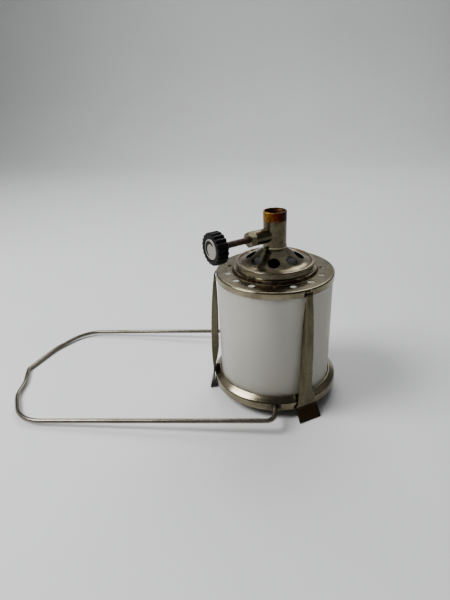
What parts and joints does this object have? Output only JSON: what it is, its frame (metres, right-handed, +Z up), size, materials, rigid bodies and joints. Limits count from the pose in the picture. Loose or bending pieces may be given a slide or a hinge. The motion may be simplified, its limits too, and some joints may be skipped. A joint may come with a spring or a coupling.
{
  "type": "camping gas lantern",
  "caption": "Gas lantern head with a needle valve, pierced base plate, frosted glass globe, hood and hanging bail, standing upside down on its sprung clips.",
  "frame": {"origin": "on the ground under the lamp's axis, as it stands upside down on the ends of its three clips", "axes": "+Z up along the lamp's axis, out of the gas inlet; -X along the bail as it lies on the ground; +Y to complete a right-handed set, along the bail's pivot"},
  "size_m": [0.2957, 0.1502, 0.1585],
  "materials": {
    "nickel_pressings": "aged nickel plate, satin to bright, stained brown in the folds",
    "spring_strip": "aged nickel-plated spring steel",
    "steel_wire": "drawn wire with worn nickel plate",
    "nickelled_brass": "worn nickel plate on turned brass, heat tinted at the inlet",
    "nickelled_hardware": "nickel plate",
    "rusted_steel": "steel with an even coat of rust",
    "bare_brass": "machined",
    "burner_steel": "heat-dulled steel",
    "black_plastic": "moulded, satin",
    "white_plastic": "moulded, satin",
    "frosted_glass": "etched white, translucent",
    "black_rubber": "nitrile rubber",
    "mantle_cloth": "fine open knit"
  },
  "bodies": {
    "lamp_head": {"base_plate": "nickel_pressings", "cone_cover": "nickel_pressings", "cone_screw": "nickelled_hardware", "globe_locators": "nickelled_hardware", "plate_rivets": "nickelled_hardware", "valve_block": "nickelled_brass", "inlet_seal": "black_rubber", "inlet_filter": "bare_brass", "gas_jet": "bare_brass", "gland_nut": "nickelled_brass", "gland_packing": "black_rubber", "burner_pipe": "burner_steel", "pipe_washer": "nickelled_hardware", "lock_nut": "nickelled_hardware", "burner_nozzle": "burner_steel", "mantle": "mantle_cloth", "mantle_tie": "mantle_cloth"},
    "valve_disc": {"valve_disc": "black_rubber"},
    "knob": {"spindle": "rusted_steel", "knob": "black_plastic", "knob_insert": "white_plastic", "knob_screw": "nickelled_hardware"},
    "clip_front": {"clip_front": "spring_strip"},
    "clip_back": {"clip_back": "spring_strip"},
    "clip_left": {"clip_left": "spring_strip"},
    "globe": {"glass_globe": "frosted_glass"},
    "hood": {"hood": "nickel_pressings", "heat_shield": "nickel_pressings", "shield_spacers": "nickelled_hardware", "shield_rivets": "nickelled_hardware"},
    "bail": {"bail": "steel_wire"}
  },
  "joints": [
    {"name": "valve_lift", "type": "slide", "parent": "lamp_head", "child": "valve_disc", "axis": [-0.7716, -0.6361, 0], "range_m": [0, 0.0012]},
    {"name": "knob_turn", "type": "hinge", "parent": "valve_disc", "child": "knob", "pos_m": [-0.03889, -0.03206, 0.1401], "axis": [-0.7716, -0.6361, 0], "range_deg": [0, 543]},
    {"name": "front_clip_spring", "type": "hinge", "parent": "lamp_head", "child": "clip_front", "pos_m": [0.02572, -0.04053, 0.10845], "axis": [-0.8443, -0.5358, 0], "range_deg": [0, 4], "stiffness_Nm_per_rad": 20, "springref_deg": -1.72},
    {"name": "back_clip_spring", "type": "hinge", "parent": "lamp_head", "child": "clip_back", "pos_m": [0.0229, 0.04218, 0.10845], "axis": [0.8788, -0.4772, 0], "range_deg": [0, 4], "stiffness_Nm_per_rad": 20, "springref_deg": -1.72},
    {"name": "left_clip_spring", "type": "hinge", "parent": "lamp_head", "child": "clip_left", "pos_m": [-0.04795, -0.00209, 0.10845], "axis": [-0.0436, 0.999, 0], "range_deg": [0, 4], "stiffness_Nm_per_rad": 20, "springref_deg": -1.72},
    {"name": "globe_lift_off", "type": "slide", "parent": "lamp_head", "child": "globe", "axis": [0, 0, -1], "range_m": [0, 0.03]},
    {"name": "hood_lift_off", "type": "slide", "parent": "globe", "child": "hood", "axis": [0, 0, -1], "range_m": [0, 0.02]},
    {"name": "bail_swing", "type": "hinge", "parent": "hood", "child": "bail", "pos_m": [0.002, -0.0007, 0.0125], "axis": [0, 1, 0], "range_deg": [-180, 180]}
  ],
  "couplings": [
    {"joint": "knob_turn", "follows": "valve_lift", "rad_per_m": 7854}
  ]
}
